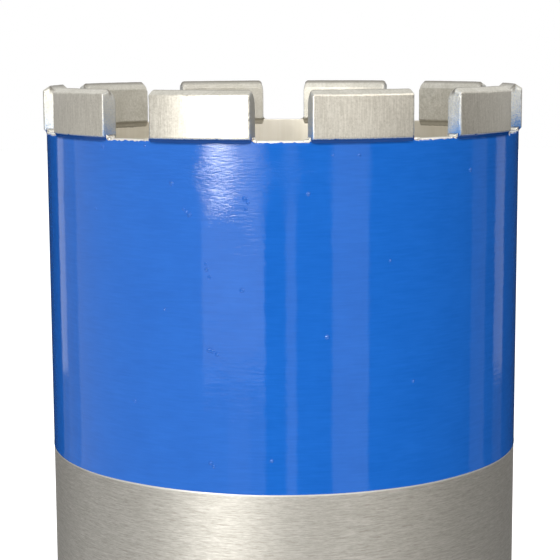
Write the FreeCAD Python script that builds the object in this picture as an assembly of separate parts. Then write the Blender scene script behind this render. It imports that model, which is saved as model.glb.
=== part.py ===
"""Diamond core bit for a drill rig, standing on its threaded hub with the crown up.

A thin steel barrel carries ten diamond segments on its rim. Each segment is a short curved
block, as wide as the cut and thicker than the barrel wall, so that the barrel runs free in the
hole. It is brazed to the rim: a bed of braze fills the joint and forms small fillets under both
overhangs and at both ends. A coat of paint covers the crown end of the barrel. At the other end
a back plate is let into the barrel and welded round, and a hexagonal hub with the spindle
thread is let into the plate and welded to it. Cooling water comes in through the hub.

Lengths are in millimetres. +Z is the axis and points from the hub to the crown. The origin is
the centre of the hub's end face, on which the bit stands.
"""

import FreeCAD, Part
import math
import os

from FreeCAD import Vector

# Crown
CROWN_DIAMETER = 120.0
DRILLING_DEPTH = 450.0
SEGMENT_COUNT = 10
SEGMENT_LENGTH = 24.0
SEGMENT_THICKNESS = 3.5
SEGMENT_HEIGHT = 11.0
# The top of a segment is a roof with its ridge in mid-thickness. Its outer face is ground to
# size, which leaves the outer slope low and the outer corners almost sharp. On the inner side,
# which isn't ground, the slope steepens at a knee and the corners stay round.
RIDGE_FLAT = 0.3
OUTER_SLOPE_DROP = 1.0
INNER_KNEE_DROP = 0.85
INNER_KNEE_DEPTH = 0.5
INNER_SLOPE_DROP = 2.0
OUTER_FOOT_BEVEL = 0.45
INNER_FOOT_BEVEL = 0.3
OUTER_CORNER_ROUND = 0.25
INNER_CORNER_ROUND = 1.2

# Braze
BRAZE_GAP = 0.1
BRAZE_SKIRT = 1.5
BRAZE_END_FILLET = 0.8
BRAZE_END_INSET = 0.2

# Barrel
BARREL_SETBACK = 0.8
BARREL_WALL = 2.0

# Paint
PAINT_THICKNESS = 0.1
PAINT_BAND = 79.4

# Back plate
FLANGE_THICKNESS = 6.0
REGISTER_HEIGHT = 6.0
REGISTER_CLEARANCE = 0.05
REGISTER_CHAMFER = 1.0
FLANGE_CHAMFER = 1.5

# Barrel weld
WELD_GROOVE = 1.2
WELD_CROWN = 0.4
WELD_CROWN_WIDTH = 1.2

# Hub
HUB_ACROSS_FLATS = 46.0
HUB_HEIGHT = 32.0
HUB_CHAMFER_ANGLE = 30.0
HUB_LAND = 1.0
SPIGOT_DIAMETER = 40.0
SPIGOT_CLEARANCE = 0.05
SPIGOT_RECESS = 0.5
HUB_WELD_LEG = 3.0

# Thread in the hub, 1 1/4 inch with 7 turns to the inch
THREAD_MAJOR_DIAMETER = 31.75
THREAD_MINOR_DIAMETER = 27.8
MOUTH_LIP = 0.4

# Radii and levels that follow from the sizes above
CROWN_RADIUS = CROWN_DIAMETER / 2
CORE_RADIUS = CROWN_RADIUS - SEGMENT_THICKNESS
RIDGE_RADIUS = (CROWN_RADIUS + CORE_RADIUS) / 2
BARREL_RADIUS = CROWN_RADIUS - BARREL_SETBACK
BARREL_BORE_RADIUS = BARREL_RADIUS - BARREL_WALL
PAINT_RADIUS = BARREL_RADIUS + PAINT_THICKNESS

FLANGE_BOTTOM = HUB_HEIGHT
BARREL_BOTTOM = FLANGE_BOTTOM + FLANGE_THICKNESS
PLATE_TOP = BARREL_BOTTOM + REGISTER_HEIGHT
CROWN_TIP = PLATE_TOP + DRILLING_DEPTH
SEGMENT_FOOT = CROWN_TIP - SEGMENT_HEIGHT
RIM = SEGMENT_FOOT - BRAZE_GAP
SKIRT_BOTTOM = RIM - BRAZE_SKIRT
PAINT_BOTTOM = RIM - PAINT_BAND

AXIS = Vector(0, 0, 1)
ORIGIN = Vector(0, 0, 0)
FULL_TURN = 360.0
SEGMENT_PITCH = FULL_TURN / SEGMENT_COUNT
# The direction of -Y, on which a gap between two segments is centred.
FRONT_GAP_TURN = -90.0
TOUCH = 1e-6


def section_point(radius, height):
    """A point of a section drawn in the XZ plane, before it is turned about the axis."""
    return Vector(radius, 0, height)


def outline_wire(steps):
    """A closed wire from its corners. A step that is a pair (middle, end) is an arc."""
    edges = []
    here = steps[0]
    for step in steps[1:] + steps[:1]:
        if isinstance(step, tuple):
            middle, end = step
            edges.append(Part.Arc(here, middle, end).toShape())
        else:
            end = step
            if here != end:
                edges.append(Part.LineSegment(here, end).toShape())
        here = end
    return Part.Wire(edges)


def turned(steps, angle=FULL_TURN):
    """A section turned about the axis, half of the angle to each side of the +X direction."""
    solid = Part.Face(outline_wire(steps)).revolve(ORIGIN, AXIS, angle)
    if angle < FULL_TURN:
        solid.rotate(ORIGIN, AXIS, -angle / 2)
    return solid


def between_parallel_ends(low, high):
    """The slab, square to the Y axis, that trims a piece on the +X side to a segment's length."""
    corner = Vector(0, -SEGMENT_LENGTH / 2, low)
    return Part.makeBox(CROWN_DIAMETER, SEGMENT_LENGTH, high - low, corner)


def placed(solid, index):
    """A piece drawn about the +X direction, moved to its place on the rim."""
    copy = solid.copy()
    copy.rotate(ORIGIN, AXIS, FRONT_GAP_TURN + (index + 0.5) * SEGMENT_PITCH)
    return copy


def segment():
    """One diamond segment, a curved block with parallel ends, a ridged top and bevelled feet."""
    section = [
        section_point(CORE_RADIUS + INNER_FOOT_BEVEL, SEGMENT_FOOT),
        section_point(CROWN_RADIUS - OUTER_FOOT_BEVEL, SEGMENT_FOOT),
        section_point(CROWN_RADIUS, SEGMENT_FOOT + OUTER_FOOT_BEVEL),
        section_point(CROWN_RADIUS, CROWN_TIP - OUTER_SLOPE_DROP),
        section_point(RIDGE_RADIUS + RIDGE_FLAT / 2, CROWN_TIP),
        section_point(RIDGE_RADIUS - RIDGE_FLAT / 2, CROWN_TIP),
        section_point(CORE_RADIUS + INNER_KNEE_DEPTH, CROWN_TIP - INNER_KNEE_DROP),
        section_point(CORE_RADIUS, CROWN_TIP - INNER_SLOPE_DROP),
        section_point(CORE_RADIUS, SEGMENT_FOOT + INNER_FOOT_BEVEL),
    ]
    return turned(section, SEGMENT_PITCH).common(rounded_blank())


def rounded_blank():
    """A plain curved block with its upright edges rounded, widely inside and slightly outside."""
    square = [
        section_point(CORE_RADIUS, SEGMENT_FOOT),
        section_point(CROWN_RADIUS, SEGMENT_FOOT),
        section_point(CROWN_RADIUS, CROWN_TIP),
        section_point(CORE_RADIUS, CROWN_TIP),
    ]
    block = turned(square, SEGMENT_PITCH).common(
        between_parallel_ends(SEGMENT_FOOT, CROWN_TIP)
    )
    for radius, rounding in (
        (CORE_RADIUS, INNER_CORNER_ROUND),
        (CROWN_RADIUS, OUTER_CORNER_ROUND),
    ):
        upright = [e for e in block.Edges if is_upright_at(e, radius)]
        block = block.makeFillet(rounding, upright)
    return block


def is_upright_at(edge, radius):
    """True for a straight edge along Z at a radius, at one end of a segment."""
    low, high = edge.Vertexes[0].Point, edge.Vertexes[-1].Point
    if math.hypot(low.x - high.x, low.y - high.y) > TOUCH:
        return False
    return abs(math.hypot(low.x, low.y) - radius) < TOUCH


def braze_bed(barrel):
    """The braze under one segment, with its skirts down the barrel and its end fillets."""
    inner_edge = CORE_RADIUS + INNER_FOOT_BEVEL
    outer_edge = CROWN_RADIUS - OUTER_FOOT_BEVEL
    section = [
        section_point(BARREL_BORE_RADIUS, SKIRT_BOTTOM),
        section_point(PAINT_RADIUS, SKIRT_BOTTOM),
        section_point(outer_edge, RIM),
        section_point(outer_edge, SEGMENT_FOOT),
        section_point(inner_edge, SEGMENT_FOOT),
        section_point(inner_edge, RIM),
    ]
    bed = turned(section, SEGMENT_PITCH).common(
        between_parallel_ends(SKIRT_BOTTOM, SEGMENT_FOOT)
    )
    fillets = [end_fillet(side) for side in (-1, 1)]
    return bed.fuse(fillets).cut(barrel).removeSplitter()


def end_fillet(side):
    """The braze that climbs one end of a segment from the rim, on the width of the barrel wall."""
    end = side * SEGMENT_LENGTH / 2
    triangle = outline_wire(
        [
            Vector(0, end, RIM),
            Vector(0, end + side * BRAZE_END_FILLET, RIM),
            Vector(0, end, RIM + BRAZE_END_FILLET),
        ]
    )
    bar = Part.Face(triangle).extrude(Vector(CROWN_RADIUS, 0, 0))
    inner = BARREL_BORE_RADIUS + BRAZE_END_INSET
    outer = BARREL_RADIUS - BRAZE_END_INSET
    rim_land = [
        section_point(inner, RIM),
        section_point(outer, RIM),
        section_point(outer, CROWN_TIP),
        section_point(inner, CROWN_TIP),
    ]
    return bar.common(turned(rim_land, SEGMENT_PITCH))


def barrel_tube():
    """The barrel, bevelled at the foot for its weld and cut square at the rim."""
    return turned(
        [
            section_point(BARREL_BORE_RADIUS, BARREL_BOTTOM),
            section_point(BARREL_RADIUS - WELD_GROOVE, BARREL_BOTTOM),
            section_point(BARREL_RADIUS, BARREL_BOTTOM + WELD_GROOVE),
            section_point(BARREL_RADIUS, RIM),
            section_point(BARREL_BORE_RADIUS, RIM),
        ]
    )


def paint_coat():
    """The coat on the crown end of the barrel, notched where a braze skirt covers the wall."""
    coat = turned(
        [
            section_point(BARREL_RADIUS, PAINT_BOTTOM),
            section_point(PAINT_RADIUS, PAINT_BOTTOM),
            section_point(PAINT_RADIUS, RIM),
            section_point(BARREL_RADIUS, RIM),
        ]
    )
    skirt = between_parallel_ends(SKIRT_BOTTOM, RIM)
    return coat.cut([placed(skirt, index) for index in range(SEGMENT_COUNT)])


def back_plate():
    """The round plate that closes the barrel: a flange under it and a register inside it."""
    register_radius = BARREL_BORE_RADIUS - REGISTER_CLEARANCE
    hole_radius = SPIGOT_DIAMETER / 2 + SPIGOT_CLEARANCE
    return turned(
        [
            section_point(hole_radius, FLANGE_BOTTOM),
            section_point(BARREL_RADIUS - FLANGE_CHAMFER, FLANGE_BOTTOM),
            section_point(BARREL_RADIUS, FLANGE_BOTTOM + FLANGE_CHAMFER),
            section_point(BARREL_RADIUS, BARREL_BOTTOM - WELD_GROOVE),
            section_point(BARREL_RADIUS - WELD_GROOVE, BARREL_BOTTOM),
            section_point(register_radius, BARREL_BOTTOM),
            section_point(register_radius, PLATE_TOP - REGISTER_CHAMFER),
            section_point(register_radius - REGISTER_CHAMFER, PLATE_TOP),
            section_point(hole_radius, PLATE_TOP),
        ]
    )


def barrel_weld():
    """The bead that fills the groove between barrel and flange and stands slightly proud."""
    crown_radius = BARREL_RADIUS + WELD_CROWN
    return turned(
        [
            section_point(BARREL_RADIUS - WELD_GROOVE, BARREL_BOTTOM),
            section_point(BARREL_RADIUS, BARREL_BOTTOM - WELD_GROOVE),
            section_point(crown_radius, BARREL_BOTTOM - WELD_CROWN_WIDTH / 2),
            section_point(crown_radius, BARREL_BOTTOM + WELD_CROWN_WIDTH / 2),
            section_point(BARREL_RADIUS, BARREL_BOTTOM + WELD_GROOVE),
        ]
    )


def hexagon(offset, height):
    """The hub's outline, moved outwards by an offset, at a height."""
    corner_radius = (HUB_ACROSS_FLATS / 2 + offset) / math.cos(math.radians(30))
    corners = []
    for corner in range(6):
        turn = math.radians(60 * corner)
        corners.append(
            Vector(
                corner_radius * math.cos(turn), corner_radius * math.sin(turn), height
            )
        )
    return outline_wire(corners)


def hub():
    """The hexagonal hub with its chamfered end, its spigot and the bore of its thread."""
    bar = Part.Face(hexagon(0, 0)).extrude(Vector(0, 0, HUB_HEIGHT))
    land_radius = HUB_ACROSS_FLATS / 2 - HUB_LAND
    corner_radius = HUB_ACROSS_FLATS / math.sqrt(3)
    chamfer_rise = (corner_radius - land_radius) * math.tan(
        math.radians(HUB_CHAMFER_ANGLE)
    )
    envelope = turned(
        [
            section_point(0, 0),
            section_point(land_radius, 0),
            section_point(corner_radius, chamfer_rise),
            section_point(corner_radius, HUB_HEIGHT),
            section_point(0, HUB_HEIGHT),
        ]
    )
    spigot = Part.makeCylinder(
        SPIGOT_DIAMETER / 2,
        PLATE_TOP - SPIGOT_RECESS - HUB_HEIGHT,
        Vector(0, 0, HUB_HEIGHT),
    )
    return bar.common(envelope).fuse(spigot).cut(thread_bore()).removeSplitter()


def thread_bore():
    """The bore at the thread's minor diameter, opened at its mouth beyond the major diameter."""
    top = PLATE_TOP - SPIGOT_RECESS
    bore_radius = THREAD_MINOR_DIAMETER / 2
    mouth_radius = THREAD_MAJOR_DIAMETER / 2 + MOUTH_LIP
    return turned(
        [
            section_point(0, 0),
            section_point(mouth_radius, 0),
            section_point(bore_radius, mouth_radius - bore_radius),
            section_point(bore_radius, top),
            section_point(0, top),
        ]
    )


def hub_weld():
    """The fillet weld round the hub, against the underside of the flange."""
    skirt = Part.makeLoft(
        [
            hexagon(0, FLANGE_BOTTOM - HUB_WELD_LEG),
            hexagon(HUB_WELD_LEG, FLANGE_BOTTOM),
        ],
        True,
        True,
    )
    bar = Part.Face(hexagon(0, 0)).extrude(Vector(0, 0, HUB_HEIGHT))
    return skirt.cut(bar)


def build_pieces():
    """Every sub-part by name."""
    barrel = barrel_tube()
    block = segment()
    bed = braze_bed(barrel)
    pieces = {
        "barrel": barrel,
        "paint_coat": paint_coat(),
        "back_plate": back_plate(),
        "barrel_weld": barrel_weld(),
        "hub": hub(),
        "hub_weld": hub_weld(),
    }
    for index in range(SEGMENT_COUNT):
        pieces[f"segment_{index + 1:02d}"] = placed(block, index)
        pieces[f"braze_{index + 1:02d}"] = placed(bed, index)
    return pieces


def main():
    os.makedirs("parts", exist_ok=True)
    for name, shape in build_pieces().items():
        shape.exportStep(f"parts/{name}.step")
        box = shape.BoundBox
        print(
            f"{name}: {len(shape.Solids)} solid, {shape.Volume:.1f} mm3,"
            f" {box.XLength:.1f} x {box.YLength:.1f} x {box.ZLength:.1f}"
        )


main()
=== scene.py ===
# %% [markdown]
# # A wet diamond core bit
#
# A core bit cuts a ring in concrete and leaves the core standing. Ours is a steel barrel with
# ten diamond segments brazed on its rim, a blue coat on the crown end, and a welded back plate
# with a threaded hub. It stands on the hub, crown up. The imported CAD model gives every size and
# place. This script adds what a drawing leaves out: rounded and chipped edges, the gloss and
# the flaws of the coat, grinding marks, braze that has flowed, a real thread and rippled welds.

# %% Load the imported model
import math
import random

import bpy
import numpy as np
from mathutils import Matrix, Vector, noise


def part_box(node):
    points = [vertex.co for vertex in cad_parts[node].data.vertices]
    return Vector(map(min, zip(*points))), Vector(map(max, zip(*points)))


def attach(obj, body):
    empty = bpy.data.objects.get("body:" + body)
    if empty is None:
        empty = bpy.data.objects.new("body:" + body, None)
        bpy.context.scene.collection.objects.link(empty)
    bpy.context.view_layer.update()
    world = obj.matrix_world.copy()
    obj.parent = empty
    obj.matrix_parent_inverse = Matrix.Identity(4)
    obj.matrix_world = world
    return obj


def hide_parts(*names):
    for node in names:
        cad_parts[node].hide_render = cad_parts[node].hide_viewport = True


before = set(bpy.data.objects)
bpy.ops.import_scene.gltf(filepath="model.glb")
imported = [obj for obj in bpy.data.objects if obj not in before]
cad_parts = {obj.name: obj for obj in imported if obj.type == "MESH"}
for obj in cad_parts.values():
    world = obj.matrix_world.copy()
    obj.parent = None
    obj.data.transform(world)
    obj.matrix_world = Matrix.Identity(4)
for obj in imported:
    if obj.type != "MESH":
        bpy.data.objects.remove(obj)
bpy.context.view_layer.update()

MM = 0.001
TAU = 2 * math.pi

# %% [markdown]
# ## Sizes read from the model
#
# Every radius and level below comes from a node's box, so the dressed pieces lie exactly on the
# solids. Only the wall of the barrel and the thickness and length of a segment are written
# again, because a box around a tube or a curved block doesn't show them.

# %% Radii and levels
barrel_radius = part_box("barrel")[1].x
rim_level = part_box("barrel")[1].z
barrel_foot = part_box("barrel")[0].z
paint_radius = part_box("paint_coat")[1].x
paint_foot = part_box("paint_coat")[0].z
crown_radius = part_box("segment_03")[1].x
segment_foot, tip_level = (corner.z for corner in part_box("segment_03"))
flange_foot, plate_top = (corner.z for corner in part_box("back_plate"))
hub_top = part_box("hub")[1].z

barrel_wall = 2.0 * MM
bore_radius = barrel_radius - barrel_wall
segment_length = 24.0 * MM
segment_thickness = 3.5 * MM
core_radius = crown_radius - segment_thickness
ridge_radius = crown_radius - segment_thickness / 2
segment_names = sorted(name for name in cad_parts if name.startswith("segment_"))
segment_count = len(segment_names)
front_gap_turn = -TAU / 4
segment_pitch = TAU / segment_count
print(segment_count, "segments on a rim at", round(rim_level / MM, 1), "mm")

# %% [markdown]
# ## Two ways to make a body
#
# Nearly everything here was made on a lathe or follows the rim, so two helpers are enough. The
# first eases the corners of a section, as a file or a tumbling drum does. The second turns a
# section about the axis and lets a `shape` function bend radius and height as it goes round:
# that is how the hexagon, the thread, the weld ripples and the chipped edge of the paint are
# made from the same simple sweep.


# %% A section with eased corners
def eased(corners, steps=4):
    """A closed section of (radius, height, rounding) corners, each one turned into an arc.

    A support point on each side of an arc keeps the smooth shading of the flats clean.
    """
    section = []
    for index, (radius, height, rounding) in enumerate(corners):
        here = Vector((radius, height))
        if rounding == 0:
            section.append(here)
            continue
        to_last = (Vector(corners[index - 1][:2]) - here).normalized()
        to_next = (Vector(corners[(index + 1) % len(corners)][:2]) - here).normalized()
        half = to_last.angle(to_next) / 2
        reach = rounding / math.tan(half)
        centre = here + (to_last + to_next).normalized() * (rounding / math.sin(half))
        first = here + to_last * reach - centre
        last = here + to_next * reach - centre
        section.append(here + to_last * reach * 1.5)
        for step in range(steps + 1):
            section.append(centre + first.slerp(last, step / steps) * rounding)
        section.append(here + to_next * reach * 1.5)
    return [tuple(point) for point in section]


# %% A mesh and its place in the part
def grid_quads(columns, rows, joined, first=0):
    """The faces of a grid. Each column closes on itself; joined closes the columns too."""
    index = first + np.arange(columns * rows).reshape(columns, rows)
    across = np.roll(index, -1, axis=0)
    corners = [index, across, np.roll(across, -1, axis=1), np.roll(index, -1, axis=1)]
    quads = np.stack(corners, axis=-1)
    return (quads if joined else quads[:-1]).reshape(-1, 4).tolist()


def smooth_mesh(name, points, faces, *finishes):
    """A smoothly shaded mesh that wears the finishes."""
    mesh = bpy.data.meshes.new(name)
    mesh.from_pydata(points, [], faces)
    mesh.shade_smooth()
    for finish in finishes:
        mesh.materials.append(finish)
    return mesh


def added_piece(mesh, node=None):
    """The mesh as a piece of the part and in place of its node."""
    piece = bpy.data.objects.new(mesh.name, mesh)
    bpy.context.scene.collection.objects.link(piece)
    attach(piece, "root")
    if node:
        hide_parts(node)
    print(piece.name, len(mesh.polygons), "faces")
    return piece


# %% A turned piece
def turned_piece(name, section, columns, node, finishes, shape=None):
    """A closed section turned about the axis. shape(radius, height, turn) may bend it."""
    section = np.array(section)
    turns = np.arange(columns) * TAU / columns
    turn = np.repeat(turns[:, None], len(section), axis=1)
    radius = np.repeat(section[None, :, 0], columns, axis=0)
    height = np.repeat(section[None, :, 1], columns, axis=0)
    if shape is not None:
        radius, height = shape(radius, height, turn)
    points = np.stack([radius * np.cos(turn), radius * np.sin(turn), height], axis=-1)
    faces = grid_quads(columns, len(section), True)
    return added_piece(smooth_mesh(name, points.reshape(-1, 3).tolist(), faces, *finishes), node)


# %% Noise that joins up round a ring
def ring_noise(turn, per_turn, seed):
    """Smooth noise of about -1 to 1 that repeats after a full turn, for an array of turns."""
    random.seed(seed)
    values = np.array([random.uniform(-1, 1) for _ in range(per_turn)])
    place = (turn / TAU * per_turn) % per_turn
    low = np.floor(place).astype(int) % per_turn
    part = place - np.floor(place)
    part = part * part * (3 - 2 * part)
    return values[low] * (1 - part) + values[(low + 1) % per_turn] * part


# %% [markdown]
# ## Building finishes
#
# A finish is a node tree that ends in a Principled shader. Each look below is a function that
# builds the tree and returns what goes into the shader's sockets, and `finish_of` makes the
# material from it. A few helpers keep the looks readable: `part_of` adds a node, `toned` turns
# two noises into one tone, and `stretched` gives noise in the metre coordinates of the object,
# drawn out along or across the axis. All patterns are in real millimetres, so they have the
# right size from any distance.


# %% Node helpers
def new_finish(name):
    """A material, its tree and its shader."""
    finish = bpy.data.materials.new(name)
    finish.use_nodes = True
    tree = finish.node_tree
    return finish, tree, tree.nodes["Principled BSDF"]


def wired(tree, node, links):
    """The node, with each socket set to a value or linked to an output."""
    for socket, value in links.items():
        if isinstance(value, bpy.types.NodeSocket):
            tree.links.new(value, node.inputs[socket])
        else:
            node.inputs[socket].default_value = value
    return node


def part_of(tree, kind, links=None, **settings):
    """A new node with its settings and its sockets' values or links."""
    node = tree.nodes.new(kind)
    for name, value in settings.items():
        setattr(node, name, value)
    return wired(tree, node, links or {})


def own_place(tree):
    """Where a point lies, in the object's own metres."""
    return part_of(tree, "ShaderNodeTexCoord").outputs["Object"]


def stretched(tree, around_mm, along_mm, detail=3.0, roughness=0.6, shift=0.0):
    """Noise whose grains are around_mm wide round the bit and along_mm tall along its axis."""
    scale = (1 / (around_mm * MM), 1 / (around_mm * MM), 1 / (along_mm * MM))
    links = {"Vector": own_place(tree), "Scale": scale, "Location": (shift, shift, shift)}
    moved = part_of(tree, "ShaderNodeMapping", links).outputs[0]
    links = {"Vector": moved, "Scale": 1.0, "Detail": detail, "Roughness": roughness}
    return part_of(tree, "ShaderNodeTexNoise", links).outputs["Fac"]


def ranged(tree, value, low, high, to_low, to_high):
    """The value, moved from one range to another and held inside it."""
    links = {"Value": value, 1: low, 2: high, 3: to_low, 4: to_high}
    return part_of(tree, "ShaderNodeMapRange", links, clamp=True).outputs[0]


def mixed(tree, share, first, second):
    """Two colours mixed by a share from 0 to 1."""
    links = {0: share, 6: first, 7: second}
    return part_of(tree, "ShaderNodeMix", links, data_type="RGBA").outputs[2]


def worked_out(tree, operation, *values):
    """The result of one sum."""
    links = dict(enumerate(values))
    return part_of(tree, "ShaderNodeMath", links, operation=operation).outputs[0]


def times(tree, first, second):
    return worked_out(tree, "MULTIPLY", first, second)


def plus(tree, first, second):
    return worked_out(tree, "ADD", first, second)


def toned(tree, first, second, share, low, high):
    """Two noises added, the first by its share, and spread from low and high to 0 and 1."""
    both = plus(tree, times(tree, first, share), times(tree, second, 1 - share))
    return ranged(tree, both, low, high, 0.0, 1.0)


def embossed(tree, height, depth_mm, under=None):
    """A bump whose full swing is depth_mm, laid over another bump if one is given."""
    links = {"Height": height, "Distance": depth_mm * MM, "Strength": 1.0}
    if under is not None:
        links["Normal"] = under
    return part_of(tree, "ShaderNodeBump", links).outputs[0]


def grown(tree, name):
    """The value of a mesh attribute."""
    return part_of(tree, "ShaderNodeAttribute", attribute_name=name).outputs["Fac"]


def finish_of(name, look_of):
    """A material whose shader gets what the function look_of builds in its tree."""
    finish, tree, shader = new_finish(name)
    wired(tree, shader, look_of(tree))
    return finish


# %% [markdown]
# ## The barrel's steel
#
# The tube was ground round and round with a fine belt before painting. That leaves hair-fine
# lines along the circumference. Light that falls on such lines spreads across them, up and down
# the tube, so the shader is anisotropic, with the stretch turned to run along the axis. The
# lines themselves are noise, very short along the axis and long around it. The bore of the tube
# was never ground: it keeps the smooth, slightly warm skin of the strip it was rolled from.


# %% Brushed steel
def barrel_steel_look(tree):
    hairs = stretched(tree, 1.5, 0.11, 4.0, 0.7)
    streaks = stretched(tree, 4.5, 0.3, 3.0, 0.6, 7.0)
    clouds = stretched(tree, 30.0, 30.0, 2.0, 0.5, 3.0)
    dark = mixed(tree, clouds, (0.345, 0.325, 0.29, 1), (0.375, 0.355, 0.32, 1))
    light = mixed(tree, clouds, (0.555, 0.54, 0.50, 1), (0.59, 0.575, 0.535, 1))
    brushed = mixed(tree, toned(tree, hairs, streaks, 0.65, 0.38, 0.62), dark, light)
    height = part_of(tree, "ShaderNodeSeparateXYZ", {0: own_place(tree)}).outputs["Z"]
    # Painted highlight: a near-white band on the steel just below the coat's lower edge.
    painted_edge_highlight = ranged(tree, height, paint_foot - 0.5 * MM, paint_foot - 0.2 * MM, 0.0, 0.6)
    tangent = part_of(tree, "ShaderNodeTangent", direction_type="RADIAL", axis="Z")
    return {
        "Base Color": mixed(tree, painted_edge_highlight, brushed, (0.92, 0.91, 0.88, 1)),
        "Roughness": ranged(tree, streaks, 0.3, 0.7, 0.60, 0.50),
        "Normal": embossed(tree, hairs, 0.006, embossed(tree, streaks, 0.006)),
        "Tangent": tangent.outputs[0],
        "Metallic": 1.0,
        "Anisotropic": 0.45,
        "Anisotropic Rotation": 0.25,
    }


barrel_steel = finish_of("brushed_barrel_steel", barrel_steel_look)


# %% The tube's smooth inside
def bore_steel_look(tree):
    clouds = stretched(tree, 12.0, 20.0, 3.0, 0.55, 2.0)
    drawn = stretched(tree, 1.2, 30.0, 3.0, 0.6, 5.0)
    tone = toned(tree, clouds, drawn, 0.6, 0.35, 0.65)
    return {
        "Base Color": mixed(tree, tone, (0.71, 0.665, 0.565, 1), (0.80, 0.76, 0.675, 1)),
        "Roughness": ranged(tree, clouds, 0.3, 0.7, 0.36, 0.46),
        "Normal": embossed(tree, drawn, 0.01),
        "Metallic": 0.85,
    }


bore_steel = finish_of("rolled_bore_steel", bore_steel_look)


# %% Scraped steel on the rim, with painted highlight
def scraped_steel_look(tree):
    dents = stretched(tree, 0.7, 0.5, 3.0, 0.6)
    return {
        # Bare scraped metal, coloured up to near white and whiter than the barrel's steel: partly
        # a painted highlight of the bright line along the rim.
        "Base Color": mixed(tree, dents, (0.66, 0.63, 0.56, 1), (0.98, 0.97, 0.94, 1)),
        "Normal": embossed(tree, dents, 0.12),
        "Metallic": 0.45,
        "Roughness": 0.35,
    }


scraped_steel_with_highlight = finish_of("scraped_rim_steel_painted_highlight", scraped_steel_look)

# %% [markdown]
# ## The barrel
#
# One lathe section makes the whole tube. The rim's edges are eased by a fifth of a millimetre,
# because the bare outer edge is what shows as a bright thread of metal above the paint. The
# foot is bevelled for its weld. The CAD tube has about a hundred facets, which the mirror-like
# streaks of brushed steel would show, so a finer tube stands in for it.

# %% Turn the barrel
RIM_EASE = 0.22 * MM
SCRAPED_BAND = 1.5 * MM
WELD_GROOVE = 1.2 * MM
BARREL_COLUMNS = 720
BARREL_CORNERS = [
    (bore_radius, barrel_foot, 0.1 * MM),
    (barrel_radius - WELD_GROOVE, barrel_foot, 0.1 * MM),
    (barrel_radius, barrel_foot + WELD_GROOVE, 0.1 * MM),
    (barrel_radius, rim_level - SCRAPED_BAND, 0.0),
    (barrel_radius, rim_level, RIM_EASE),
    (bore_radius, rim_level, RIM_EASE),
]
steels = (barrel_steel, bore_steel, scraped_steel_with_highlight)
barrel = turned_piece(
    "barrel_tube", eased(BARREL_CORNERS), BARREL_COLUMNS, "barrel", steels
)
for face in barrel.data.polygons:
    if math.hypot(face.center.x, face.center.y) < bore_radius + RIM_EASE / 4:
        face.material_index = 1
    elif face.center.z > rim_level - SCRAPED_BAND:
        face.material_index = 2

# %% [markdown]
# ## The blue coat
#
# The coat is a glossy enamel, sprayed after brazing and masked off in a clean line round the
# tube. Three things make it look like paint and not like plastic. Its gloss is a clear layer
# over the colour, so the studio shows in it as sharp vertical bands. The belt marks below it
# telegraph through as ripples that lie round the tube and break those bands into short dashes.
# And the heat of brazing has wrinkled it under the crown, most at one hot spot, with a calmer
# strip close to the rim. Ripples this fine are a bump; the dust grains are geometry. Where the
# mesh says `hollow`, the paint lies in the shadow of a segment: that shade is painted into its
# colour as a deep blue, and it is less glossy.


# %% Blue enamel
# Painted shade: the deep blue that the coat, the braze and the painted foot take under a segment.
PAINTED_SHADE_BLUE = (0.004, 0.045, 0.21, 1)
HOT_TURN = front_gap_turn + math.radians(-13.0)
HOT_SPOT = (paint_radius * math.cos(HOT_TURN), paint_radius * math.sin(HOT_TURN), rim_level)


def wrinkling(tree):
    """How strongly the heat of brazing has wrinkled the coat."""
    place = own_place(tree)
    height = part_of(tree, "ShaderNodeSeparateXYZ", {0: place}).outputs["Z"]
    heated = ranged(tree, height, rim_level - 25 * MM, rim_level - 6 * MM, 0.0, 1.0)
    heated = times(tree, heated, ranged(tree, heated, 0.0, 1.0, 0.35, 1.0))
    calm = ranged(tree, height, rim_level - 7.5 * MM, rim_level - 3.5 * MM, 1.0, 0.45)
    away = part_of(tree, "ShaderNodeVectorMath", {0: place, 1: HOT_SPOT}, operation="DISTANCE")
    near = ranged(tree, away.outputs["Value"], 10 * MM, 26 * MM, 1.0, 0.25)
    return times(tree, times(tree, heated, calm), near)


def blue_paint_look(tree):
    clouds = stretched(tree, 9.0, 9.0, 3.0, 0.5)
    sprayed = stretched(tree, 6.0, 0.5, 3.0, 0.6, 4.0)
    tone = toned(tree, clouds, sprayed, 0.35, 0.35, 0.65)
    colour = mixed(tree, tone, (0.008, 0.115, 0.515, 1), (0.012, 0.134, 0.575, 1))
    painted_shade_share = grown(tree, "hollow")

    swell = stretched(tree, 22.0, 9.0, 1.0, 0.4, 5.0)
    peel = stretched(tree, 1.1, 0.7, 2.0, 0.5, 6.0)
    ripples = stretched(tree, 5.0, 0.75, 3.0, 0.55)
    patches = ranged(tree, stretched(tree, 12.0, 8.0, 2.0, 0.5, 2.0), 0.42, 0.62, 0.15, 1.0)
    crinkles = stretched(tree, 1.8, 0.5, 4.0, 0.62, 9.0)
    bump = embossed(tree, peel, 0.008, embossed(tree, swell, 0.05))
    bump = embossed(tree, times(tree, ripples, patches), 0.03, bump)
    bump = embossed(tree, times(tree, crinkles, wrinkling(tree)), 0.085, bump)
    return {
        # Painted shade: where `hollow` is 1, the colour is mixed to the deep blue.
        "Base Color": mixed(tree, painted_shade_share, colour, PAINTED_SHADE_BLUE),
        "Coat Weight": ranged(tree, painted_shade_share, 0.0, 1.0, 1.0, 0.3),
        "Normal": bump,
        "Coat Normal": bump,
        "Roughness": 0.4,
        "Specular IOR Level": 0.0,
        "Coat Roughness": 0.065,
    }


blue_paint = finish_of("blue_enamel", blue_paint_look)

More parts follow.
